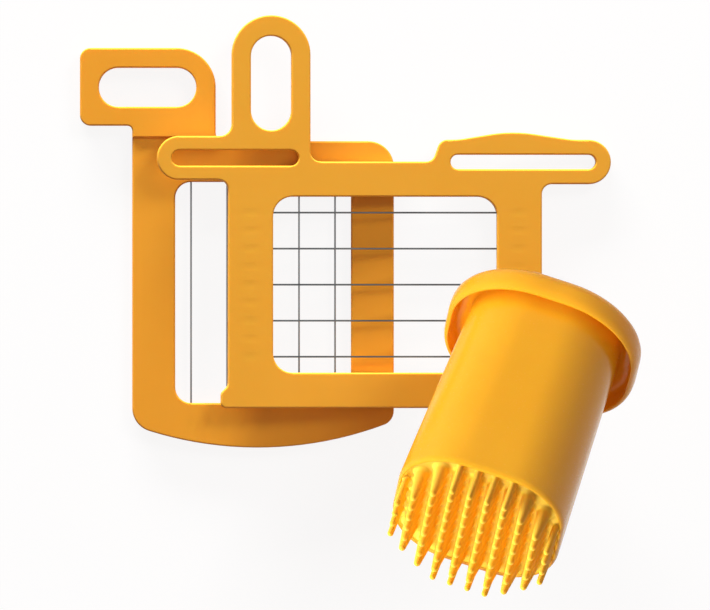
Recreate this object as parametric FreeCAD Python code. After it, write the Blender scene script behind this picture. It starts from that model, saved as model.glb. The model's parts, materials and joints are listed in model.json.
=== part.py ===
import FreeCAD, Part
import math
import os

# Hand dicer for eggs: two strung frames and a spiked pusher, laid out as a set on a table.
# Origin: centre of the rear frame's window, on the table. X runs right, Y up the frames, Z up.

Vec = FreeCAD.Vector

# Strung grids, shared by both frames
wire_count = 5
wire_pitch = 12.0
wire_d = 0.6
window_across = 58.6
plate_t = 4.0
wire_level = 2.0
anchor_offset = 7.4
ferrule_w = 1.8
ferrule_len = 3.0
keeper_w = 5.0
keeper_t = 1.0
keeper_end = 4.0
keeper_corner_r = 1.0
pin_w = 2.0
pin_len = 1.6
wire_fit = 0.05
slot_clear = 0.1
pocket_clear = 0.3
keeper_clear = 0.12
pin_clear = 0.08
edge_break = 0.5

# Rear frame
rear_window_len = 73.7
rear_window_r = 5.3
rear_side_rail = 14.3
rear_top_rail = 13.6
rear_bottom_rail = 14.85
rear_bow_r = 120.7
rear_bow_offset = -1.8
rear_corner_top_r = 8.5
rear_corner_left_r = 8.0
rear_corner_right_r = 5.0
rear_handle_out = 17.4
rear_handle_w = 45.2
rear_handle_lift = 5.15
rear_handle_h = 25.9
rear_handle_rise = 1.0
rear_handle_step = 1.2
rear_handle_left_r = 3.5
rear_handle_right_r = 13.0
rear_handle_neck_r = 1.7
rear_handle_foot_r = 3.0
rear_hole_len = 32.5
rear_hole_w = 13.0
rear_hole_in = 22.5
rear_hole_up = 12.8

# Front frame, in its own plane about the centre of its window
front_window_len = 74.7
front_window_r = 6.5
front_side_rail = 15.0
front_top_rail = 11.7
front_bottom_rail = 11.8
front_handle_in = 14.35
front_handle_w = 26.2
front_handle_h = 48.7
front_handle_left_r = 4.0
front_handle_right_r = 3.4
front_hole_len = 31.5
front_hole_w = 13.5
front_hole_up = 26.1
ear_left_out = 23.65
ear_left_rise = 1.2
ear_left_w = 14.6
ear_right_out = 23.05
ear_right_drop = 0.1
ear_right_w = 14.8
ear_right_len = 56.8
ear_shoulder_r = 3.2
ear_shoulder_run = 2.6
ear_root_r = 3.3
arch_start = 5.7
arch_middle = 23.7
arch_end = 43.9
arch_rise = 3.0
arch_r = 48.0
arch_blend_r = 24.0
slot_left_in = 26.0
slot_left_len = 42.3
slot_left_w = 5.2
slot_right_in = 29.3
slot_right_len = 48.5
slot_right_w = 4.8
nub_out = 2.4
nub_h = 5.0
nub_r = 1.8
nub_blend_r = 2.5

# Where the front frame lies: across the rear frame's right edge, with its right ear on the table
front_x = 40.5
front_y = 2.6
stack_gap = 0.3

# Pusher, along its own axis from the lip of the flange to the spikes
pusher_clear = 0.8
pusher_draft = 2.7
pusher_corner_r = 21.0
pusher_len = 70.8
pusher_wall = 2.0
rim_wall = 1.3
flange_out = 4.4
flange_h = 10.0
flange_wall = 2.0
flange_bevel = 3.0
palm_t = 2.0
spike_plate_t = 2.5
spike_recess = 0.8
spike_plate_clear = 0.1
spike_len = 11.6
spike_tip_r = 0.75
spike_wire_clear = 0.1
spike_inset = 1.3
spike_edge_r = 1.2
spike_sides = 8

# Where the pusher leans: place of the lip's centre and the turn of its axis
pusher_x = 91.5
pusher_y = -20.0
pusher_heading = 20.8
pusher_lean = 34.4
pusher_roll = 4.9
lean_gap = 0.3

tiny = 1e-6


def rounded_outline(corners):
    """Closed wire through corners (x, y, radius), each rounded by a tangent arc."""
    places = [Vec(x, y, 0) for x, y, r in corners]
    runs = []
    for i, (x, y, r) in enumerate(corners):
        here = places[i]
        back = (places[i - 1] - here).normalize()
        ahead = (places[(i + 1) % len(places)] - here).normalize()
        half = back.getAngle(ahead) / 2
        reach = r / math.tan(half)
        middle = (back + ahead).normalize()
        crown = here + middle * (r / math.sin(half) - r)
        runs.append((here + back * reach, crown, here + ahead * reach))
    edges = []
    for i, (start, crown, end) in enumerate(runs):
        edges.append(Part.Arc(start, crown, end).toShape())
        following = runs[(i + 1) % len(runs)][0]
        if (following - end).Length > tiny:
            edges.append(Part.LineSegment(end, following).toShape())
    return Part.Wire(edges)


def prism(corners, height, base=0.0):
    """Rounded outline raised from base by height."""
    face = Part.Face(rounded_outline(corners))
    face.translate(Vec(0, 0, base))
    return face.extrude(Vec(0, 0, height))


def rectangle(cx, cy, width, height, r):
    """Corners of a rectangle about a centre, all with one radius."""
    dx = width / 2
    dy = height / 2
    return [(cx - dx, cy - dy, r), (cx + dx, cy - dy, r), (cx + dx, cy + dy, r), (cx - dx, cy + dy, r)]


def stadium(cx, cy, length, width):
    """Corners of a level slot with full-round ends."""
    return rectangle(cx, cy, length, width, width / 2)


def through(corners):
    """Cutter for an opening right through a plate and its raised handle."""
    return prism(corners, plate_t + 2 * (rear_handle_rise + edge_break), -rear_handle_rise - edge_break)


def box_between(x0, x1, y0, y1, z0, z1):
    """Box between two corners, given in either order along Y."""
    return Part.makeBox(x1 - x0, abs(y1 - y0), z1 - z0, Vec(x0, min(y0, y1), z0))


def edges_at(solid, z):
    """Edges of a solid that lie wholly at one height."""
    flat = []
    for edge in solid.Edges:
        box = edge.BoundBox
        if box.ZLength < tiny and abs(box.ZMax - z) < tiny:
            flat.append(edge)
    return flat


def break_edges(solid, level):
    """Bevels every edge of a solid that lies wholly at one level."""
    return solid.makeChamfer(edge_break, edges_at(solid, level))


def wire_places():
    """Offsets of the wires across the window."""
    middle = (wire_count - 1) / 2
    return [(i - middle) * wire_pitch for i in range(wire_count)]


def pin_places():
    """Offsets of the keeper pins, halfway between the wires."""
    places = wire_places()
    return [(a + b) / 2 for a, b in zip(places, places[1:])]


def cylinder_y(radius, y0, y1, x, z):
    """Round bar along Y."""
    return Part.makeCylinder(radius, y1 - y0, Vec(x, y0, z), Vec(0, 1, 0))


def cylinder_z(radius, z0, z1, x, y):
    """Round bar along Z."""
    return Part.makeCylinder(radius, z1 - z0, Vec(x, y, z0), Vec(0, 0, 1))


def keeper_length():
    return (wire_count - 1) * wire_pitch + 2 * keeper_end


def anchor_cutter(window_len, side):
    """Keeper seat, ferrule pockets, pin sockets and wire slots of one rail; side is +1 or -1."""
    centre = side * (window_len / 2 + anchor_offset)
    width = keeper_w + 2 * keeper_clear
    seat = rectangle(0, centre, keeper_length() + 2 * keeper_clear, width, keeper_corner_r + keeper_clear)
    pocket_w = ferrule_w + 2 * pocket_clear
    pocket_top = wire_level + ferrule_w / 2 + pocket_clear
    slot_half = wire_d / 2 + slot_clear
    stop = centre - side * ferrule_len / 2
    far = centre + side * (ferrule_len / 2 + pocket_clear)
    mouth = side * (window_len / 2 - edge_break)
    cuts = []
    for x in wire_places():
        cuts.append(box_between(x - pocket_w / 2, x + pocket_w / 2, stop, far, keeper_t / 2, pocket_top))
        cuts.append(box_between(x - slot_half, x + slot_half, mouth, centre, 0, wire_level + slot_half))
    for x in pin_places():
        cuts.append(pin(x, centre, pin_w + 2 * pin_clear, pin_len + pin_clear))
    return prism(seat, keeper_t).fuse(cuts).removeSplitter()


def pin(x, y, width, length):
    """Square pin that stands on the keeper's inner face."""
    half = width / 2
    return box_between(x - half, x + half, y - half, y + half, keeper_t / 2, keeper_t + length)


def keeper(window_len, side):
    """Strip that closes the pockets of one rail, with its pins."""
    centre = side * (window_len / 2 + anchor_offset)
    strip = prism(rectangle(0, centre, keeper_length(), keeper_w, keeper_corner_r), keeper_t)
    return strip.fuse([pin(x, centre, pin_w, pin_len) for x in pin_places()]).removeSplitter()


def wire_reach(window_len):
    """Half length of a wire, to the outer end of its ferrule."""
    return window_len / 2 + anchor_offset + ferrule_len / 2


def wires(window_len):
    """Tight wires, one solid each."""
    reach = wire_reach(window_len)
    return [cylinder_y(wire_d / 2, -reach, reach, x, wire_level) for x in wire_places()]


def hexagon_bar(width, y0, y1, x, z):
    """Six-sided bar along Y, of a width across its flats, with flats to the front and back."""
    radius = width / math.sqrt(3)
    spokes = [math.pi / 3 * i for i in range(7)]
    ring = [Vec(x + radius * math.cos(a), y0, z + radius * math.sin(a)) for a in spokes]
    return Part.Face(Part.makePolygon(ring)).extrude(Vec(0, y1 - y0, 0))


def ferrules(window_len, side):
    """Crimped ferrules of one rail, each against the window side of its pocket."""
    centre = side * (window_len / 2 + anchor_offset)
    low = centre - ferrule_len / 2
    high = centre + ferrule_len / 2
    solids = []
    for x in wire_places():
        crimp = hexagon_bar(ferrule_w, low, high, x, wire_level)
        solids.append(crimp.cut(hexagon_bar(wire_d + 2 * wire_fit, low, high, x, wire_level)))
    return Part.Compound(solids)


def rear_plate():
    """Rear frame: window, bowed lower edge and raised hanging handle."""
    right = window_across / 2 + rear_side_rail
    top = rear_window_len / 2 + rear_top_rail
    bow_low = -rear_window_len / 2 - rear_bottom_rail
    below = bow_low - rear_bow_r
    handle_left = -right - rear_handle_out
    handle_right = handle_left + rear_handle_w
    handle_low = top + rear_handle_lift
    handle_top = handle_low + rear_handle_h
    outline = [
        (-right, below, edge_break), (right, below, edge_break), (right, top, rear_corner_top_r),
        (handle_right, top, rear_handle_foot_r), (handle_right, handle_top, rear_handle_right_r),
        (handle_left, handle_top, rear_handle_left_r), (handle_left, handle_low, rear_handle_left_r),
        (-right, handle_low, rear_handle_neck_r),
    ]
    bow = cylinder_z(rear_bow_r, 0, plate_t, rear_bow_offset, bow_low + rear_bow_r)
    plate = prism(outline, plate_t).common(bow)
    for side, radius in ((-1, rear_corner_left_r), (1, rear_corner_right_r)):
        plate = plate.makeFillet(radius, [lower_corner(plate, side * right)])
    plate = plate.cut(through(rectangle(0, 0, window_across, rear_window_len, rear_window_r)))
    step = top + rear_handle_step
    handle_t = plate_t + rear_handle_rise
    frame = break_edges(plate, plate_t).common(box_between(-2 * right, 2 * right, below, step, 0, plate_t))
    handle_box = box_between(-2 * right, 2 * right, step, 2 * handle_top, 0, handle_t)
    handle = prism(outline, handle_t).common(handle_box)
    hole = stadium(handle_left + rear_hole_in, handle_low + rear_hole_up, rear_hole_len, rear_hole_w)
    handle = handle.cut(through(hole))
    return frame.fuse(break_edges(handle, handle_t)).removeSplitter()


def lower_corner(plate, x):
    """Upright edge of the plate at the given side, where it meets the bow."""
    for edge in plate.Edges:
        box = edge.BoundBox
        if abs(box.XMin - x) < tiny and box.XLength < tiny and box.YLength < tiny and box.YMax < 0:
            return edge


def ear_right_reach():
    """Far end of the right ear from the middle of the front frame's window."""
    return front_window_len / 2 + front_side_rail + ear_right_out


def front_plate():
    """Front frame: window, tall handle, slotted ears with an arch, and two lower nubs."""
    half = front_window_len / 2 + front_side_rail
    top = window_across / 2 + front_top_rail
    low = -window_across / 2 - front_bottom_rail
    handle_x = front_handle_in - half
    handle_left = handle_x - front_handle_w / 2
    handle_right = handle_x + front_handle_w / 2
    handle_top = top + front_handle_h
    left_end = -half - ear_left_out
    left_y = top + ear_left_rise
    left_top = left_y + ear_left_w / 2
    left_low = left_y - ear_left_w / 2
    right_end = ear_right_reach()
    right_start = right_end - ear_right_len
    right_y = top - ear_right_drop
    right_top = right_y + ear_right_w / 2
    right_low = right_y - ear_right_w / 2
    outline = [
        (-half - nub_out, low, nub_r), (half + nub_out, low, nub_r),
        (half + nub_out, low + nub_h, nub_r), (half, low + nub_h + nub_out, nub_blend_r),
        (half, right_low, ear_root_r),
        (right_end, right_low, ear_right_w / 2), (right_end, right_top, ear_right_w / 2),
        (right_start + arch_end, right_top, arch_blend_r),
        (right_start + arch_middle, right_top + arch_rise, arch_r),
        (right_start + arch_start, right_top, arch_blend_r),
        (right_start, right_top, ear_shoulder_r), (right_start - ear_shoulder_run, top, ear_shoulder_r),
        (handle_right, top, front_handle_right_r),
        (handle_right, handle_top, front_handle_w / 2), (handle_left, handle_top, front_handle_w / 2),
        (handle_left, left_top, front_handle_left_r),
        (left_end, left_top, ear_left_w / 2), (left_end, left_low, ear_left_w / 2),
        (-half, left_low, ear_root_r),
        (-half, low + nub_h + nub_out, nub_blend_r), (-half - nub_out, low + nub_h, nub_r),
    ]
    plate = prism(outline, plate_t)
    openings = [
        rectangle(0, 0, front_window_len, window_across, front_window_r),
        rectangle(handle_x, top + front_hole_up, front_hole_w, front_hole_len, front_hole_w / 2),
        stadium(left_end + slot_left_in, left_y, slot_left_len, slot_left_w),
        stadium(right_end - slot_right_in, right_y, slot_right_len, slot_right_w),
    ]
    for corners in openings:
        plate = plate.cut(through(corners))
    return break_edges(plate, plate_t)


def front_placement():
    """Tilt and place of the front frame, from the two things that it rests on."""
    rear_edge = window_across / 2 + rear_side_rail
    height = plate_t + stack_gap
    tilt = math.atan2(height, ear_right_reach() - (rear_edge - front_x))
    lift = height + (rear_edge - front_x) * math.tan(tilt)
    turn = FreeCAD.Rotation(Vec(0, 1, 0), math.degrees(tilt))
    return FreeCAD.Placement(Vec(front_x, front_y, lift), turn)


def pusher_half():
    """Half width of the pusher's body at its spiked end."""
    return window_across / 2 - pusher_clear


def straight(half, r, z0, z1):
    """Upright prism of one rounded square."""
    return prism(rectangle(0, 0, 2 * half, 2 * half, r), z1 - z0, z0)


def drafted(half0, half1, r, z0, z1):
    """Square block that widens evenly from one end to the other, with its long edges rounded."""
    block = Part.makeWedge(-half0, z0, -half0, -half1, -half1, half0, z1, half0, half1, half1)
    block.rotate(Vec(), Vec(1, 0, 0), 90)
    return block.makeFillet(r, [edge for edge in block.Edges if edge.BoundBox.ZLength > tiny])


def closed_solid(faces):
    """Solid inside a closed set of faces."""
    shell = Part.Shell(faces)
    shell.sewShape()
    return Part.Solid(shell)


def plate_seat():
    """Height of the ledge that carries the spike plate."""
    return pusher_len - spike_recess - spike_plate_t


def sleeve():
    """Hollow sleeve with the palm flange, its turned lip and the seat for the spike plate."""
    tip = pusher_half()
    base = tip - pusher_draft
    rim = tip + flange_out
    rim_r = pusher_corner_r + rim - base
    floor = palm_t - flange_h
    flange = straight(rim, rim_r, -flange_h, 0)
    flange = flange.makeChamfer(flange_bevel, edges_at(flange, -flange_h))
    flange = flange.cut(straight(rim - flange_wall, rim_r - flange_wall, floor, flange_h))
    body = drafted(base, tip, pusher_corner_r, floor, pusher_len)
    inside = pusher_corner_r - pusher_wall
    core = drafted(base - pusher_wall, tip - pusher_wall, inside, floor, pusher_len)
    mouth = straight(tip - rim_wall, pusher_corner_r - rim_wall, plate_seat(), pusher_len)
    return break_edges(flange, 0).fuse(body).cut(core).cut(mouth)


def spike_plate_half():
    return pusher_half() - rim_wall - spike_plate_clear


def spike_rows():
    """Rows of spikes: two in each gap between wires, and one in each end gap by the plate's edge."""
    inner = [p + side * wire_pitch / 4 for p in wire_places() for side in (-1, 1)]
    outer = spike_plate_half() - spike_inset
    return [-outer] + sorted(inner)[1:-1] + [outer]


def spike_root(x, y):
    """Root radius: inner spikes fill the gaps between wires, and the outer ones fit by the edge."""
    if max(x, y, -x, -y) == max(spike_rows()):
        return spike_edge_r
    return wire_pitch / 4 - wire_d / 2 - spike_wire_clear


def spike_ring(x, y, r, z):
    """Corners of a spike's section at one height."""
    turns = [2 * math.pi * i / spike_sides for i in range(spike_sides)]
    return [Vec(x + r * math.cos(a), y + r * math.sin(a), z) for a in turns]


def polygon_face(corners):
    return Part.Face(Part.makePolygon(corners + corners[:1]))


def spike(x, y, top):
    """Tapered spike with flat sides and a blunt tip, its root sunk halfway into the plate."""
    root = spike_root(x, y)
    sunk = spike_plate_t / 2
    sunk_r = root + (root - spike_tip_r) * sunk / spike_len
    low = spike_ring(x, y, sunk_r, top - sunk)
    high = spike_ring(x, y, spike_tip_r, top + spike_len)
    sides = [polygon_face([low[i - 1], low[i], high[i], high[i - 1]]) for i in range(spike_sides)]
    return closed_solid([polygon_face(low), polygon_face(high)] + sides)


def spike_plate():
    """End plate with its spikes, kept where a spike's root fits on the plate."""
    half = spike_plate_half()
    low = plate_seat()
    top = low + spike_plate_t
    core = pusher_half() - pusher_corner_r
    spikes = []
    for x in spike_rows():
        for y in spike_rows():
            reach = math.hypot(max(abs(x) - core, 0), max(abs(y) - core, 0)) + spike_root(x, y)
            if reach <= half - core:
                spikes.append(spike(x, y, top))
    return straight(half, half - core, low, top).fuse(spikes)


def pusher_axes():
    """Row, column and axis directions of the pusher as it leans."""
    heading = math.radians(pusher_heading)
    lean = math.radians(pusher_lean)
    axis = Vec(-math.cos(lean) * math.sin(heading), -math.cos(lean) * math.cos(heading), math.sin(lean))
    level = Vec(math.cos(heading), -math.sin(heading), 0)
    row = FreeCAD.Rotation(axis, pusher_roll).multVec(level)
    return row, axis.cross(row), axis


def pusher_placement(parts, front):
    """Leans the pusher over the front frame's corner, the lean gap above its face."""
    row, column, axis = pusher_axes()
    turn = FreeCAD.Rotation(row, column, axis, "ZXY")
    normal = front.Rotation.multVec(Vec(0, 0, 1))
    face = front.multVec(Vec(0, 0, plate_t))
    loose = FreeCAD.Placement(Vec(pusher_x, pusher_y, 0), turn)
    lowest = min(lowest_along(part, loose, normal) for part in parts)
    lift = (face.dot(normal) + lean_gap - lowest) / normal.z
    return FreeCAD.Placement(Vec(pusher_x, pusher_y, lift), turn)


def lowest_along(part, placement, normal):
    """Least reach of a placed part along a direction."""
    upright = FreeCAD.Rotation(normal, Vec(0, 0, 1))
    moved = placed(part, FreeCAD.Placement(Vec(), upright).multiply(placement))
    return moved.optimalBoundingBox(False).ZMin


def placed(part, placement):
    """Copy of a part carried to its place."""
    return part.transformed(placement.toMatrix())


def save(name, part):
    solids = part.Solids
    shape = solids[0] if len(solids) == 1 else Part.Compound(solids)
    shape.exportStep(os.path.join("parts", name + ".step"))


def save_frame(prefix, plate, window_len, sides, grid_turn, placement):
    """Cuts the anchors into a plate and writes the plate with its wires, ferrules and keepers."""
    grid = FreeCAD.Placement(Vec(), FreeCAD.Rotation(Vec(0, 0, 1), grid_turn))
    whole = placement.multiply(grid)
    for side in (1, -1):
        plate = plate.cut(placed(anchor_cutter(window_len, side), grid))
    save(prefix + "_frame_plate", placed(plate, placement))
    for i, wire in enumerate(wires(window_len)):
        save(prefix + "_wire_" + str(i + 1), placed(wire, whole))
    for side, word in zip((1, -1), sides):
        save(prefix + "_ferrules_" + word, placed(ferrules(window_len, side), whole))
        save(prefix + "_keeper_" + word, placed(keeper(window_len, side), whole))


def main():
    os.makedirs("parts", exist_ok=True)
    flat = FreeCAD.Placement()
    front = front_placement()
    save_frame("rear", rear_plate(), rear_window_len, ("top", "bottom"), 0, flat)
    save_frame("front", front_plate(), front_window_len, ("right", "left"), -90, front)
    pusher = {"pusher_sleeve": sleeve(), "spike_plate": spike_plate()}
    leaning = pusher_placement(list(pusher.values()), front)
    for name, part in pusher.items():
        save(name, placed(part, leaning))
    print("front frame lies at", front)
    print("pusher leans at", leaning, "along", pusher_axes()[2])


main()
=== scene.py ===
import json
import math

import bmesh
import bpy
import numpy as np
from mathutils import Matrix, Vector


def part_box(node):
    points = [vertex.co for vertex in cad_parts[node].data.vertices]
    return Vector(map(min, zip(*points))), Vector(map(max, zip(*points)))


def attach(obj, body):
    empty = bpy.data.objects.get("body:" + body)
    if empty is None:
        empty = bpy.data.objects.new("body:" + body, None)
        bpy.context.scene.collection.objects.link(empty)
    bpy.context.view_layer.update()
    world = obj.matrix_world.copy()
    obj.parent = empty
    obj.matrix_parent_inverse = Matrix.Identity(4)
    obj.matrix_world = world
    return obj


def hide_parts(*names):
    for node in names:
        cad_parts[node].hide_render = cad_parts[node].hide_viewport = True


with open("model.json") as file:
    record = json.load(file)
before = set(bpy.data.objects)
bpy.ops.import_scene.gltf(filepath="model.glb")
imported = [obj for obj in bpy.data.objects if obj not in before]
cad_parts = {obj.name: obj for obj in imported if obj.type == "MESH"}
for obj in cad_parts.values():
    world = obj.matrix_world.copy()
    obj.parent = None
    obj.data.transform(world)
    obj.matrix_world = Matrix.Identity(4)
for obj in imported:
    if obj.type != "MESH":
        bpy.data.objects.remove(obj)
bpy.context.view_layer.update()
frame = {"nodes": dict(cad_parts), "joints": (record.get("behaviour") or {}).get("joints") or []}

mm = 0.001
print("frame loaded:", len(frame["nodes"]), "nodes")


# Shader sums: a channel wraps one socket, so that sums on it add Math nodes
class Channel:
    def __init__(self, paint, socket):
        self.paint = paint
        self.socket = socket

    def calc(self, operation, *values):
        return self.paint.add("ShaderNodeMath", {"operation": operation}, dict(enumerate(values)))

    def __add__(self, other):
        return self.calc("ADD", self, other)

    __radd__ = __add__

    def __sub__(self, other):
        return self.calc("SUBTRACT", self, other)

    def __rsub__(self, other):
        return self.calc("SUBTRACT", other, self)

    def __mul__(self, other):
        return self.calc("MULTIPLY", self, other)

    __rmul__ = __mul__

    def __truediv__(self, other):
        return self.calc("DIVIDE", self, other)

    def __rtruediv__(self, other):
        return self.calc("DIVIDE", other, self)

    def __pow__(self, other):
        return self.calc("POWER", self, other)

    def __rpow__(self, other):
        return self.calc("POWER", other, self)

    def __abs__(self):
        return self.calc("ABSOLUTE", self)

    def cosine(self):
        return self.calc("COSINE", self)

    def bell(self, width):
        # 1 at nought, falling off smoothly: e to the minus square of the value over the width
        return self.calc("EXPONENT", (self / width) ** 2 * -1.0)

    def span(self, low, high, lowOut=0.0, highOut=1.0):
        # low to high becomes lowOut to highOut, and what lies outside is held at the ends
        values = {0: self, 1: low, 2: high, 3: lowOut, 4: highOut}
        return self.paint.add("ShaderNodeMapRange", {"clamp": True}, values)


# The nodes of one material, or of the world
class Paint:
    def __init__(self, owner, outputKind="ShaderNodeOutputMaterial"):
        owner.use_nodes = True
        self.owner = owner
        self.tree = owner.node_tree
        self.tree.nodes.clear()
        self.output = self.tree.nodes.new(outputKind)

    def set(self, target, value):
        if isinstance(value, Channel):
            self.tree.links.new(value.socket, target)
        else:
            target.default_value = value

    def add(self, kind, settings=None, values=None, out=0):
        node = self.tree.nodes.new(kind)
        for key, setting in (settings or {}).items():
            setattr(node, key, setting)
        for key, value in (values or {}).items():
            self.set(node.inputs[key], value)
        return Channel(self, node.outputs[out])

    def place(self):
        return self.add("ShaderNodeTexCoord", out="Object")

    def axes(self):
        split = self.add("ShaderNodeSeparateXYZ", values={0: self.place()})
        return [Channel(self, output) for output in split.socket.node.outputs]

    def noise(self, scale, detail=2.0, roughness=0.5, stretch=(1, 1, 1)):
        mapped = self.add("ShaderNodeMapping", values={"Vector": self.place(), "Scale": stretch})
        values = {"Vector": mapped, "Scale": scale, "Detail": detail, "Roughness": roughness}
        return self.add("ShaderNodeTexNoise", values=values)

    def blend(self, factor, first, second):
        values = {0: factor, 6: first, 7: second}
        return self.add("ShaderNodeMix", {"data_type": "RGBA"}, values, out=2)

    def bump(self, height, distance):
        return self.add("ShaderNodeBump", values={"Height": height, "Distance": distance, "Strength": 1.0})

    def seenBy(self, rays):
        # 1 for the kinds of ray that are named, else 0
        marks = [self.add("ShaderNodeLightPath", out=ray) for ray in rays]
        return sum(marks).span(0.0, 1.0)

    def show(self, shader):
        self.tree.links.new(shader.socket, self.output.inputs[0])
        return self.owner

    def surface(self, **sockets):
        values = {key.replace("_", " "): value for key, value in sockets.items()}
        return self.show(self.add("ShaderNodeBsdfPrincipled", values=values))


def newPaint(name):
    return Paint(bpy.data.materials.new(name))


def rgb(red, green, blue):
    return (red, green, blue, 1.0)


noiseSpan = (0.3, 0.7)  # where most values of a noise lie
wideSpan = (0.2, 0.8)  # the same, with less contrast

# Moulded frame plastic: soft mottling, faint flow streaks and shallow sink marks over the anchors.
# Mottle, streak and grain are noise scales, per metre, and flow stretches the streaks
framePlastic = {
    "mottle": 45.0, "mottleShare": 0.65, "mottleRelief": 0.5,
    "streak": 260.0, "streakShare": 0.35, "streakRough": 0.10,
    "grain": 1500.0, "grainDetail": 3.0, "grainSharp": 0.6, "grainRelief": 0.10, "grainRough": 0.05,
    "sinkPitch": 6 * mm, "sinkReach": 25.5 * mm, "sinkWidth": 2.6 * mm, "sinkDepth": 0.028 * mm,
    "rough": 0.36, "ior": 1.49, "gloss": 0.30,
    "scatter": 0.15, "scatterDepth": 3 * mm, "scatterReach": (1.0, 0.35, 0.08),
}
rearPlastic = {
    "light": rgb(0.84, 0.380, 0.031), "deep": rgb(0.82, 0.360, 0.026), "flow": (1, 0.05, 1),
    "anchors": ("rear_ferrules_bottom", "rear_ferrules_top"),
}
frontPlastic = {
    "light": rgb(0.84, 0.425, 0.040), "deep": rgb(0.82, 0.405, 0.034), "flow": (0.05, 1, 1),
    "anchors": ("front_ferrules_left", "front_ferrules_right"),
}


def middle(node):
    low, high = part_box(node)
    return (low + high) / 2


def makeFramePlastic(name, own):
    p = framePlastic
    paint = newPaint(name)
    # the anchors lie in two rails, one on each side of the window's centre
    ends = [middle(node) for node in own["anchors"]]
    centre = (ends[0] + ends[1]) / 2
    apart = (ends[1] - ends[0]) / 2
    side = 0 if abs(apart.x) > abs(apart.y) else 1
    axes = paint.axes()
    across = axes[side] - centre[side]
    run = axes[1 - side] - centre[1 - side]
    # sink marks: a cosine along the rail, under a bell across it, cut off past the last wire
    onRail = (abs(across) - apart[side]).bell(p["sinkWidth"])
    inReach = abs(run).span(p["sinkReach"], p["sinkReach"] + p["sinkPitch"] / 2, 1.0, 0.0)
    sinks = (run * (2 * math.pi / p["sinkPitch"])).cosine().span(0.0, 1.0) * onRail * inReach
    mottle = paint.noise(p["mottle"])
    streaks = paint.noise(p["streak"], stretch=own["flow"])
    grain = paint.noise(p["grain"], p["grainDetail"], p["grainSharp"])
    shade = mottle.span(*noiseSpan) * p["mottleShare"] + streaks.span(*noiseSpan) * p["streakShare"]
    relief = sinks * -1.0 + grain * p["grainRelief"] + mottle * p["mottleRelief"]
    return paint.surface(
        Base_Color=paint.blend(shade, own["deep"], own["light"]),
        Roughness=p["rough"] + streaks.span(*wideSpan) * p["streakRough"] + grain * p["grainRough"],
        Normal=paint.bump(relief, p["sinkDepth"]), IOR=p["ior"], Specular_IOR_Level=p["gloss"],
        Subsurface_Weight=p["scatter"], Subsurface_Scale=p["scatterDepth"],
        Subsurface_Radius=p["scatterReach"])


# Pusher plastic: yellower, and glossier on the sleeve than on the spikes. The spikes' copy is painted paler
# and yellower than the sleeve's, which is painted light for the light that bounces between the spikes and
# glows through them
pusherPlastic = {
    "mottle": 30.0, "relief": 0.03 * mm, "ior": 1.5,
    "grain": 1800.0, "grainSharp": 0.55, "grainRelief": 0.08, "grainRough": 0.06,
    "scatter": 0.3, "scatterDepth": 3 * mm, "scatterReach": (1.0, 0.45, 0.08),
}
sleevePlastic = {
    "light": rgb(0.94, 0.465, 0.018), "deep": rgb(0.93, 0.445, 0.014), "rough": 0.22, "gloss": 0.25,
}
# the spikes' copy of the pusher plastic, brightened as painted light
spikePlasticPaintedLight = {
    "light": rgb(0.97, 0.61, 0.070), "deep": rgb(0.96, 0.58, 0.058), "rough": 0.36, "gloss": 0.08,
}


def makePusherPlastic(name, own):
    p = pusherPlastic
    paint = newPaint(name)
    mottle = paint.noise(p["mottle"])
    grain = paint.noise(p["grain"], roughness=p["grainSharp"])
    return paint.surface(
        Base_Color=paint.blend(mottle.span(*noiseSpan), own["deep"], own["light"]),
        Roughness=own["rough"] + grain.span(*noiseSpan) * p["grainRough"],
        Normal=paint.bump(mottle + grain * p["grainRelief"], p["relief"]),
        IOR=p["ior"], Specular_IOR_Level=own["gloss"],
        Subsurface_Weight=p["scatter"], Subsurface_Scale=p["scatterDepth"],
        Subsurface_Radius=p["scatterReach"])


# Drawn steel: fine streaks along the wire. It is one steel in two copies: the rear frame's upright wires
# get a paler copy and the front frame's level wires a darker one, which is painted light and painted shade
# for how the lamps fall on each set
steel = {"streak": 900.0, "detail": 3.0, "sharp": 0.6, "rough": 0.3, "streakRough": 0.2}
uprightSteelPaintedLight = {"light": rgb(0.36, 0.38, 0.39), "deep": rgb(0.18, 0.19, 0.20), "drawn": (1, 0.02, 1)}
levelSteelPaintedShade = {"light": rgb(0.18, 0.19, 0.196), "deep": rgb(0.09, 0.095, 0.10), "drawn": (0.02, 1, 1)}
# the ferrules take the upright wires' paler copy, with its painted light
ferruleSteel = dict(uprightSteelPaintedLight, drawn=(1, 1, 1))


def makeSteel(name, own):
    p = steel
    paint = newPaint(name)
    streaks = paint.noise(p["streak"], p["detail"], p["sharp"], own["drawn"])
    return paint.surface(
        Base_Color=paint.blend(streaks.span(*noiseSpan), own["deep"], own["light"]),
        Metallic=1.0, Roughness=p["rough"] + streaks * p["streakRough"])


finishes = {
    "rearPlate": makeFramePlastic("rear_frame_plastic", rearPlastic),
    "frontPlate": makeFramePlastic("front_frame_plastic", frontPlastic),
    "sleeve": makePusherPlastic("sleeve_plastic", sleevePlastic),
    "spikes": makePusherPlastic("spike_plastic_painted_light", spikePlasticPaintedLight),
    "rearWire": makeSteel("upright_wire_steel_painted_light", uprightSteelPaintedLight),
    "frontWire": makeSteel("level_wire_steel_painted_shade", levelSteelPaintedShade),
    "ferrule": makeSteel("ferrule_steel", ferruleSteel),
}
print("materials made:", len(finishes))


def coat(thing, material):
    thing.data.materials.clear()
    thing.data.materials.append(material)


def dress(piece, material, body, node):
    coat(piece, material)
    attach(piece, body)
    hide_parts(node)


# Mesh helpers
joinDistance = 0.001 * mm


def readMesh(items, key, width=1, kind=float):
    values = np.empty(len(items) * width, kind)
    items.foreach_get(key, values)
    return values.reshape(-1, width) if width > 1 else values


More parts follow.
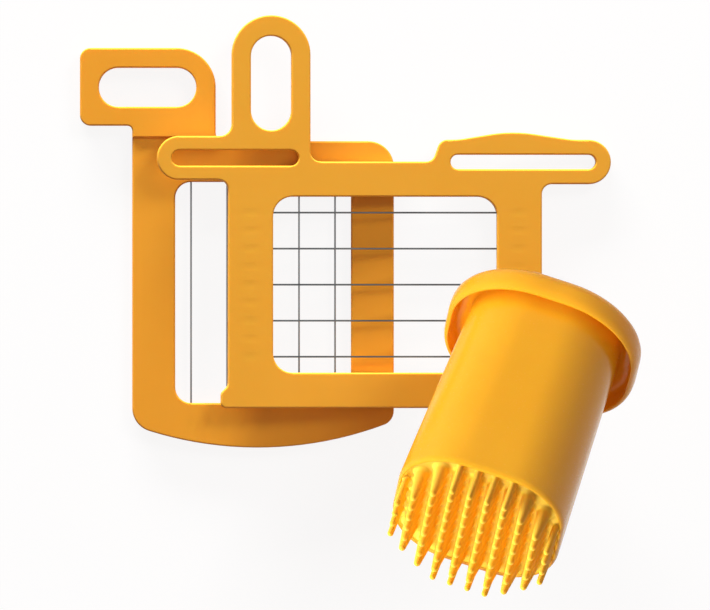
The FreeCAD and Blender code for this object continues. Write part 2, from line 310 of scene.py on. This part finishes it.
def mergePoints(mesh, distance, turnOut=False):
    work = bmesh.new()
    work.from_mesh(mesh)
    bmesh.ops.remove_doubles(work, verts=work.verts, dist=distance)
    if turnOut:
        bmesh.ops.recalc_face_normals(work, faces=work.faces)
    work.to_mesh(mesh)
    work.free()


def placeMesh(name, mesh):
    mesh.polygons.foreach_set("use_smooth", np.ones(len(mesh.polygons), bool))
    thing = bpy.data.objects.new(name, mesh)
    bpy.context.scene.collection.objects.link(thing)
    return thing


def meshPiece(name, points, faces):
    mesh = bpy.data.meshes.new(name)
    mesh.from_pydata(points.tolist(), [], faces.tolist())
    mergePoints(mesh, joinDistance, turnOut=True)
    return placeMesh(name, mesh)


def cellFaces(rows, columns, closed=True):
    # one quad for each cell of a grid of points, whose columns may close on themselves
    index = np.arange(rows * columns).reshape(rows, columns)
    beside = np.roll(index, -1, axis=1)
    cells = np.stack([index[:-1], beside[:-1], beside[1:], index[1:]], axis=-1)
    return (cells if closed else cells[:, :-1]).reshape(-1, 4)


def gridPiece(name, points, closed=True):
    return meshPiece(name, points.reshape(-1, 3), cellFaces(*points.shape[:2], closed))


# Frame plates: the solid's own faces, with normals that roll over the front bevels.
# Sharp is in degrees, large is a share of the whole area and sameFacing is in decimals
platePiece = {"join": 0.002 * mm, "sharp": 60.0, "large": 0.004, "largeWeight": 1e6, "sameFacing": 3}


def rolledNormals(mesh):
    # at each corner of a face: the area-weighted mean normal of the faces there that turn from it by less
    # than the sharp angle. A large flat outweighs all others and keeps its own normal
    p = platePiece
    vertex = readMesh(mesh.loops, "vertex_index", kind=int)
    sides = readMesh(mesh.polygons, "loop_total", kind=int)
    areas = readMesh(mesh.polygons, "area")
    facing = readMesh(mesh.polygons, "normal", 3)
    # faces that share a direction make one flat, which is large by its share of the area
    flats = np.unique(np.round(facing, p["sameFacing"]), axis=0, return_inverse=True)[1].reshape(-1)
    large = (np.bincount(flats, areas) > p["large"] * areas.sum())[flats]
    weights = areas * np.where(large, p["largeWeight"], 1.0)
    # every pair of corners, first and second, that share a vertex
    corners = len(vertex)
    face = np.repeat(np.arange(len(sides)), sides)
    order = np.argsort(vertex, kind="stable")
    counts = np.bincount(vertex)
    starts = np.cumsum(counts) - counts
    meets = counts[vertex]
    first = np.repeat(np.arange(corners), meets)
    step = np.arange(len(first)) - np.repeat(np.cumsum(meets) - meets, meets)
    second = order[starts[vertex[first]] + step]
    other = facing[face[second]]
    near = np.sum(facing[face[first]] * other, axis=1) > math.cos(math.radians(p["sharp"]))
    share = (weights[face[second]] * near)[:, None] * other
    summed = np.stack([np.bincount(first, share[:, k], corners) for k in range(3)], axis=1)
    summed = np.where(large[face][:, None], facing[face], summed)
    return summed / np.linalg.norm(summed, axis=1, keepdims=True)


def makePlate(node, name, body, material):
    mesh = frame["nodes"][node].data.copy()
    mergePoints(mesh, platePiece["join"])
    plate = placeMesh(name, mesh)
    mesh.normals_split_custom_set(rolledNormals(mesh).tolist())
    dress(plate, material, body, node)


def coatNodes():
    for name, node in frame["nodes"].items():
        owner = "rear" if name.startswith("rear") else "front"
        if "wire" in name:
            coat(node, finishes[owner + "Wire"])
        elif "ferrules" in name:
            coat(node, finishes["ferrule"])
        elif "keeper" in name:
            coat(node, finishes[owner + "Plate"])


makePlate("rear_frame_plate", "rear_plate", "rear_frame", finishes["rearPlate"])
makePlate("front_frame_plate", "front_plate", "front_frame", finishes["frontPlate"])
coatNodes()
print("plates made, wires, ferrules and keepers coated")

# Pusher, in its own axes: along the rows of spikes, along their columns, and the way that they point.
# Roll is in degrees about that way, and lipTall and rimTall are heights over widths
pusherPiece = {
    "roll": 4.9, "half": 28.5 * mm, "draft": 2.7 * mm, "corner": 21 * mm, "length": 70.8 * mm,
    "flangeOut": 4.4 * mm, "flangeHeight": 10 * mm, "palm": 2 * mm, "dish": 0.6 * mm, "dishSteps": 4,
    "lip": 2 * mm, "lipRoll": 1.5 * mm, "lipTall": 2.4, "edge": 4.5 * mm, "wall": 2 * mm,
    "fillet": 2.2 * mm, "rim": 1.3 * mm, "rimRoll": 1.0 * mm, "rimTall": 2.2, "rollSteps": 10,
    "seat": 67.5 * mm, "arcSteps": 24, "flatSteps": 6,
}


def pusherTurn():
    # its three axes as columns: a level line turned by the roll, one square to it, and the stroke's axis
    axis = Vector(next(j["axis"] for j in frame["joints"] if j["name"] == "pusher_stroke")).normalized()
    level = axis.cross(Vector((0, 0, 1))).normalized() * -1
    row = Matrix.Rotation(math.radians(pusherPiece["roll"]), 3, axis) @ level
    return np.array([row, axis.cross(row), axis]).T


def pusherPlace(turn):
    # middle of the solid across its axis, and its spiked end less the length along it
    own = readMesh(frame["nodes"]["pusher_sleeve"].data.vertices, "co", 3) @ turn
    place = (own.min(axis=0) + own.max(axis=0)) / 2
    place[2] = own[:, 2].max() - pusherPiece["length"]
    return turn @ place


def squareRing(arcSteps, flatSteps):
    # once round a rounded square: for each point, the corner of a unit square that carries it, and its
    # normal, which turns along the corners' arcs and stays the same along the flats
    turn = np.linspace(0, math.pi / 2, arcSteps, endpoint=False)
    flat = np.linspace(0, 1, flatSteps, endpoint=False)
    corners = np.array([[1, 1], [-1, 1], [-1, -1], [1, -1]])
    cores, normals = [], []
    for i in range(4):
        angles = turn + i * math.pi / 2
        facing = (i + 1) * math.pi / 2
        cores.append(np.repeat(corners[i:i + 1], arcSteps, axis=0))
        cores.append(corners[i] + flat[:, None] * (corners[(i + 1) % 4] - corners[i]))
        normals.append(np.stack([np.cos(angles), np.sin(angles)], axis=1))
        normals.append(np.tile([math.cos(facing), math.sin(facing)], (flatSteps, 1)))
    return np.concatenate(cores), np.concatenate(normals)


def arcRow(core, reach, height, radius, start, end, steps=6, tall=1.0):
    # part of a circle in the profile's plane, between two angles in degrees, or of an ellipse that is so
    # many times as tall as it is wide
    angles = np.radians(np.linspace(start, end, steps))
    out = reach + radius * np.cos(angles)
    up = height + tall * radius * np.sin(angles)
    return np.stack([np.full(steps, core), out, up], axis=1)


def sleeveProfile():
    # rows of (half of the core square, reach from it, height): from the palm's middle, round the lip,
    # down into the trough, up the wall to the spiked end and back inside
    p = pusherPiece
    edge, lip, fillet, corner, steps = p["edge"], p["lip"], p["fillet"], p["corner"], p["rollSteps"]
    lipRoll, lipTall, lipTurn = p["lipRoll"], p["lipTall"], lip - p["lipRoll"]
    rimRoll, rimTall, rimTurn = p["rimRoll"], p["rimTall"], p["rim"] - p["rimRoll"]
    low = -p["flangeHeight"]
    floor = low + p["palm"]
    tip = p["half"] - corner
    base = tip - p["draft"]
    flange = corner + p["draft"] + p["flangeOut"]
    inner = corner - p["wall"]
    outward = np.linspace(0, 1, p["dishSteps"])
    rise = p["dish"] * (1 - outward ** 2)
    palm = np.stack([outward * base, outward * (flange - 2 * edge), low + rise], axis=1)
    return np.concatenate([
        palm,
        arcRow(base, flange - edge, low + edge, edge, -90, 0),
        arcRow(base, flange - lipRoll, -lipRoll * lipTall, lipRoll, 0, 90, steps, lipTall),
        arcRow(base, flange - lipRoll, -lipTurn, lipTurn, 90, 180),
        arcRow(base, flange - lip - fillet, floor + fillet, fillet, 0, -90),
        arcRow(base, corner + fillet, floor + fillet, fillet, -90, -180),
        arcRow(tip, corner - rimRoll, p["length"] - rimRoll * rimTall, rimRoll, 0, 90, steps, rimTall),
        arcRow(tip, corner - rimRoll, p["length"] - rimTurn, rimTurn, 90, 180),
        [[tip, corner - p["rim"], p["seat"]], [tip, inner, p["seat"]], [base, inner, floor], [0, 0, floor]],
    ])


def carryRound(profile, cores, normals):
    # every profile row becomes a rounded square: its core times the unit square, plus its reach along
    # the normal, at its height
    flat = profile[:, 0, None, None] * cores[None] + profile[:, 1, None, None] * normals[None]
    heights = np.broadcast_to(profile[:, 2, None, None], flat.shape[:2] + (1,))
    return np.concatenate([flat, heights], axis=2)


turnPusher = pusherTurn()
pusherAt = pusherPlace(turnPusher)
ring = squareRing(pusherPiece["arcSteps"], pusherPiece["flatSteps"])
sleeve = gridPiece("pusher_body", carryRound(sleeveProfile(), *ring) @ turnPusher.T + pusherAt)
dress(sleeve, finishes["sleeve"], "pusher", "pusher_sleeve")
print("sleeve made, placed at", np.round(pusherAt / mm, 2))

# Spiked end: plate and a field of tapered spikes, two to each gap between wires.
# TipFrom is in degrees, flare is a share of the root and sunk a share of the flare's height
spikePiece = {
    "pitch": 6 * mm, "inner": 4, "reach": 19.6 * mm, "top": 70 * mm, "thick": 2.5 * mm, "inset": 1.3 * mm,
    "root": 2.6 * mm, "edgeRoot": 1.2 * mm, "length": 11.6 * mm, "sides": 16, "edge": 0.6 * mm,
    "tip": 1.0 * mm, "tipFrom": 10.0, "tipSteps": 7,
    "flare": 0.46, "flareHeight": 1.5 * mm, "flareSteps": 6, "sunk": 0.1,
}


def spikePlaces():
    # inner rows stand half a pitch either side of each wire, outer rows by the plate's edge, and each
    # spike whose root reaches past the rounded square is left out
    p = spikePiece
    core = pusherPiece["half"] - pusherPiece["corner"]
    outer = core + p["reach"] - p["inset"]
    inner = (np.arange(2 * p["inner"]) - p["inner"] + 0.5) * p["pitch"]
    row = np.concatenate([[-outer], inner, [outer]])
    x, y = np.meshgrid(row, row)
    root = np.where(np.maximum(abs(x), abs(y)) < outer, p["root"], p["edgeRoot"])
    out = np.hypot(np.maximum(abs(x) - core, 0), np.maximum(abs(y) - core, 0))
    keep = out + root <= p["reach"]
    return np.stack([x[keep], y[keep], root[keep]], axis=1)


def spikeProfile():
    # rows of (share of the root's surplus over the tip's radius, added radius, share of the root added,
    # height): sole and flared foot, which starts a little below the plate's face, then taper and round tip
    p = spikePiece
    rise = np.concatenate([[-p["sunk"]], np.linspace(0, 1, p["flareSteps"])])
    footUp = rise * p["flareHeight"]
    foot = np.stack([1 - footUp / p["length"], 0 * rise, p["flare"] * (1 - rise) ** 3, footUp], axis=1)
    sole = [[0, -p["tip"], 0, footUp[0]]]
    arc = np.radians(np.linspace(p["tipFrom"], 90, p["tipSteps"]))
    tipUp = p["length"] - p["tip"] * (1 - np.sin(arc))
    taper = (1 - tipUp / p["length"]) * np.cos(arc)
    tip = np.stack([taper, p["tip"] * (np.cos(arc) - 1), 0 * arc, tipUp], axis=1)
    return np.concatenate([sole, foot, tip])


def spikeField(places):
    # radius at each level: the tip's, plus the root's surplus times its share, plus what is added
    p = spikePiece
    surplusShare, added, rootShare, height = spikeProfile().T
    root = places[:, 2, None]
    radius = p["tip"] + (root - p["tip"]) * surplusShare + added + root * rootShare
    around = np.linspace(0, 2 * math.pi, p["sides"], endpoint=False)
    circle = np.stack([np.cos(around), np.sin(around)], axis=1)
    flat = places[:, None, None, :2] + radius[..., None, None] * circle
    up = np.broadcast_to((p["top"] + height)[None, :, None, None], flat.shape[:3] + (1,))
    each = len(height) * p["sides"]
    faces = cellFaces(len(height), p["sides"])[None] + (np.arange(len(places)) * each)[:, None, None]
    return np.concatenate([flat, up], axis=3).reshape(-1, 3), faces.reshape(-1, 4)


def endPlate():
    # a flat face whose edge turns up in a fillet to the rim, a straight wall and a flat back
    p = spikePiece
    core = pusherPiece["half"] - pusherPiece["corner"]
    back = p["top"] - p["thick"]
    rows = np.concatenate([
        [[0, 0, p["top"]]],
        arcRow(core, p["reach"] - p["edge"], p["top"] + p["edge"], p["edge"], -90, 0),
        [[core, p["reach"], back], [0, 0, back]],
    ])
    points = carryRound(rows, *ring)
    return points.reshape(-1, 3), cellFaces(*points.shape[:2])


def makeSpikes(places):
    spikePoints, spikeFaces = spikeField(places)
    platePoints, plateFaces = endPlate()
    points = np.concatenate([spikePoints, platePoints]) @ turnPusher.T + pusherAt
    return meshPiece("spiked_end", points, np.concatenate([spikeFaces, plateFaces + len(spikePoints)]))


places = spikePlaces()
spikes = makeSpikes(places)
dress(spikes, finishes["spikes"], "pusher", "spike_plate")
print("spikes made:", len(places))

# Floor: white to the camera and in gloss, with the object's soft shadow kept. It fades to plain white
# further off, so that no edge shows, and lies a hair below the frames
floorStage = {
    "half": 9.0, "points": 3, "drop": 0.02 * mm, "fadeFrom": 0.25, "fadeTo": 1.4,
    "bounce": rgb(0.6, 0.50, 0.46), "glow": 0.895, "lift": rgb(0.105, 0.105, 0.105),
}
whiteRays = ("Is Camera Ray", "Is Glossy Ray", "Is Transmission Ray")


def makeFloor():
    p = floorStage
    side = np.linspace(-p["half"], p["half"], p["points"])
    x, y = np.meshgrid(side, side)
    floor = gridPiece("floor", np.stack([x, y, np.full_like(x, -p["drop"])], axis=-1), closed=False)
    paint = newPaint("floor_paper")
    bounce = paint.add("ShaderNodeBsdfDiffuse", values={"Color": p["bounce"]})
    lift = paint.add("ShaderNodeBsdfDiffuse", values={"Color": p["lift"]})
    glow = paint.add("ShaderNodeEmission", values={"Strength": p["glow"]})
    near = paint.add("ShaderNodeAddShader", values={0: lift, 1: glow})
    white = paint.add("ShaderNodeEmission")
    across, along = paint.axes()[:2]
    far = ((across * across + along * along) ** 0.5).span(p["fadeFrom"], p["fadeTo"])
    shown = paint.add("ShaderNodeMixShader", values={0: far, 1: near, 2: white})
    mix = {0: paint.seenBy(whiteRays), 1: bounce, 2: shown}
    coat(floor, paint.show(paint.add("ShaderNodeMixShader", values=mix)))


makeFloor()
print("floor made")

# Studio: soft lamps and a pale world, which is white where it shows. The frames are lit low from the top,
# and the pusher from the left and the front, so each lamp lights its own pieces
studio = {
    "lamps": {
        "frameKey": {"lights": "plates", "at": (-0.6, 2.45, 0.40), "size": (2.0, 0.40), "watts": 199.0},
        "frameFill": {"lights": "frames", "at": (1.8, 1.8, 1.8), "size": (1.0, 1.0), "watts": 38.0},
        "sleeveKey": {"lights": "sleeve", "at": (-3.2, 0.3, 2.2), "size": (2.4, 2.4), "watts": 87.0},
        "sleeveTop": {"lights": "sleeve", "at": (-1.9, 2.6, 2.2), "size": (2.0, 2.0), "watts": 60.0},
        "sleeveOver": {"lights": "sleeve", "at": (0.4, 0.2, 2.6), "size": (1.5, 1.5), "watts": 5.5},
        "sleeveFront": {"lights": "sleeve", "at": (-1.25, -1.4, 1.65), "size": (0.9, 0.9), "watts": 34.0},
        "spikeKey": {"lights": "spikes", "at": (-2.6, 0.2, 0.8), "size": (1.0, 1.0), "watts": 112.0},
        "spikeFront": {"lights": "spikes", "at": (-1.1, -2.3, 0.48), "size": (0.8, 0.8), "watts": 66.0},
    },
    "aim": (0.03, 0.0, 0.02), "world": 0.28, "tint": rgb(1.0, 0.72, 0.68),
}


def litGroup(name, pieces):
    group = bpy.data.collections.new(name)
    for piece in pieces:
        group.objects.link(piece)
    return group


def litGroups():
    # frames are all but the pusher, with the floor, and plates are the frames without their wires
    meshes = [thing for thing in bpy.context.scene.objects if thing.type == "MESH"]
    frames = [thing for thing in meshes if thing not in (sleeve, spikes)]
    plates = [thing for thing in frames if "wire" not in thing.name]
    pieces = {"frames": frames, "plates": plates, "sleeve": [sleeve], "spikes": [spikes]}
    return {name: litGroup("lit_" + name, group) for name, group in pieces.items()}


def makeLamp(name, lit):
    p = studio["lamps"][name]
    data = bpy.data.lights.new(name, "AREA")
    data.energy = p["watts"]
    data.shape = "RECTANGLE"
    data.size, data.size_y = p["size"]
    lamp = bpy.data.objects.new(name, data)
    lamp.location = p["at"]
    lamp.rotation_euler = (Vector(studio["aim"]) - lamp.location).to_track_quat("-Z", "Y").to_euler()
    lamp.light_linking.receiver_collection = lit[p["lights"]]
    lamp.visible_glossy = False
    bpy.context.scene.collection.objects.link(lamp)


def makeWorld():
    paint = Paint(bpy.data.worlds.new("studio_world"), "ShaderNodeOutputWorld")
    soft = paint.add("ShaderNodeBackground", values={"Color": studio["tint"], "Strength": studio["world"]})
    white = paint.add("ShaderNodeBackground", values={"Color": rgb(1, 1, 1)})
    mix = {0: paint.seenBy(whiteRays), 1: soft, 2: white}
    bpy.context.scene.world = paint.show(paint.add("ShaderNodeMixShader", values=mix))


groups = litGroups()
for name in studio["lamps"]:
    makeLamp(name, groups)
makeWorld()
print("studio made:", len(studio["lamps"]), "lamps")

# Camera: straight down from far off, three pixels to the millimetre at the frames
cameraView = {
    "pixelsPerMm": 3.0, "pixels": (710, 610), "originPixel": (263, 292.5),
    "height": 5.0, "level": 4 * mm, "sensor": 36.0, "farthest": 50.0,
}


def makeCamera():
    p = cameraView
    pixel = mm / p["pixelsPerMm"]
    data = bpy.data.cameras.new("camera")
    data.sensor_width = p["sensor"]
    # the lens is to the sensor as the way down to the frames is to the width that is seen there
    data.lens = p["sensor"] * (p["height"] - p["level"]) / (p["pixels"][0] * pixel)
    data.clip_end = p["farthest"]
    camera = bpy.data.objects.new("camera", data)
    right = (p["pixels"][0] / 2 - p["originPixel"][0]) * pixel
    up = (p["originPixel"][1] - p["pixels"][1] / 2) * pixel
    camera.location = (right, up, p["height"])
    bpy.context.scene.collection.objects.link(camera)
    bpy.context.scene.camera = camera


makeCamera()
bpy.context.scene.view_settings.view_transform = "Standard"
print("camera made")
